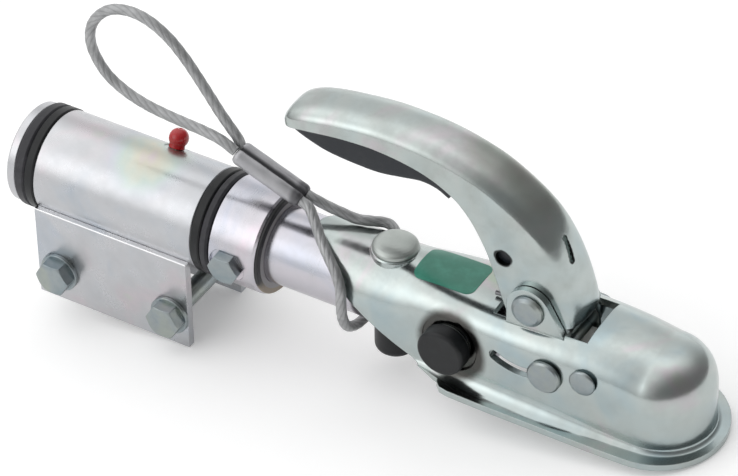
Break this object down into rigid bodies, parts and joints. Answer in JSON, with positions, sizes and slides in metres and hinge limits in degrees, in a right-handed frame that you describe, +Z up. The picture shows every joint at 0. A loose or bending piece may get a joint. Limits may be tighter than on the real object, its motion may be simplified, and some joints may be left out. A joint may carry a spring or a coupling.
{
  "type": "trailer swivel hitch",
  "caption": "Pressed ball coupler with a lift handle, on a shaft that swivels in a greased tube housing whose side plates bolt over a drawbar, with a looped wire rope.",
  "frame": {"origin": "midway between the two bracket bolts, in the middle of the gap that takes the drawbar", "axes": "+X along the swivel axis towards the coupler's nose, +Z up from the bracket bolts towards the swivel axis, -Y the side with the bolt heads"},
  "size_m": [0.4383, 0.0881, 0.2021],
  "materials": {
    "zinc_steel": "bright zinc plated, slightly brushed",
    "zinc_pressing": "bright zinc plated pressed sheet",
    "zinc_fastener": "bright zinc plated",
    "shaft_steel": "turned and zinc plated",
    "jaw_iron": "cast, greased",
    "spring_steel": "oiled spring steel",
    "nipple_brass": "plated brass",
    "black_plastic": "moulded, satin",
    "black_rubber": "matt rubber",
    "grip_plastic": "moulded, satin, blue-black",
    "red_plastic": "soft glossy plastic",
    "wire_rope": "stranded wire under a thin grey skin",
    "ferrule_alloy": "pressed, dull"
  },
  "bodies": {
    "housing": {"housing_tube": "zinc_steel", "near_side_plate": "zinc_steel", "far_side_plate": "zinc_steel", "rear_bush": "black_plastic", "front_bush": "black_plastic", "rear_seal": "black_rubber", "front_seal": "black_rubber", "grease_nipple": "nipple_brass", "nipple_cap": "red_plastic", "bracket_bolts": "zinc_fastener", "bracket_washers": "zinc_fastener", "bracket_nuts": "zinc_fastener", "ferrule": "ferrule_alloy", "pull_loop": "wire_rope", "neck_loop": "wire_rope"},
    "coupler": {"swivel_shaft": "shaft_steel", "end_disc": "zinc_steel", "collar": "shaft_steel", "collar_screw": "zinc_fastener", "collar_ring": "black_rubber", "coupler_body": "zinc_pressing", "rear_bolt": "zinc_fastener", "cross_bolt": "zinc_fastener", "clamp_washers": "zinc_fastener", "clamp_nuts": "zinc_fastener", "nut_caps": "black_plastic", "head_cap": "black_plastic", "handle_pivot": "zinc_fastener", "jaw_pin": "zinc_fastener"},
    "handle": {"handle_shell": "zinc_pressing", "grip_insert": "grip_plastic", "locking_pin": "zinc_fastener", "lock_spring": "spring_steel"},
    "jaw": {"ball_jaw": "jaw_iron"}
  },
  "joints": [
    {"name": "swivel", "type": "hinge", "parent": "housing", "child": "coupler", "pos_m": [0, 0, 0.054], "axis": [1, 0, 0], "continuous": true},
    {"name": "handle_lift", "type": "hinge", "parent": "coupler", "child": "handle", "pos_m": [0.2601, 0, 0.091], "axis": [0, 1, 0], "range_deg": [0, 54], "stiffness_Nm_per_rad": 1.2, "springref_deg": -28.65},
    {"name": "jaw_swing", "type": "hinge", "parent": "coupler", "child": "jaw", "pos_m": [0.2986, 0, 0.0655], "axis": [0, 1, 0], "range_deg": [0, 17]}
  ],
  "couplings": [
    {"joint": "jaw_swing", "follows": "handle_lift", "ratio": 0.3}
  ]
}
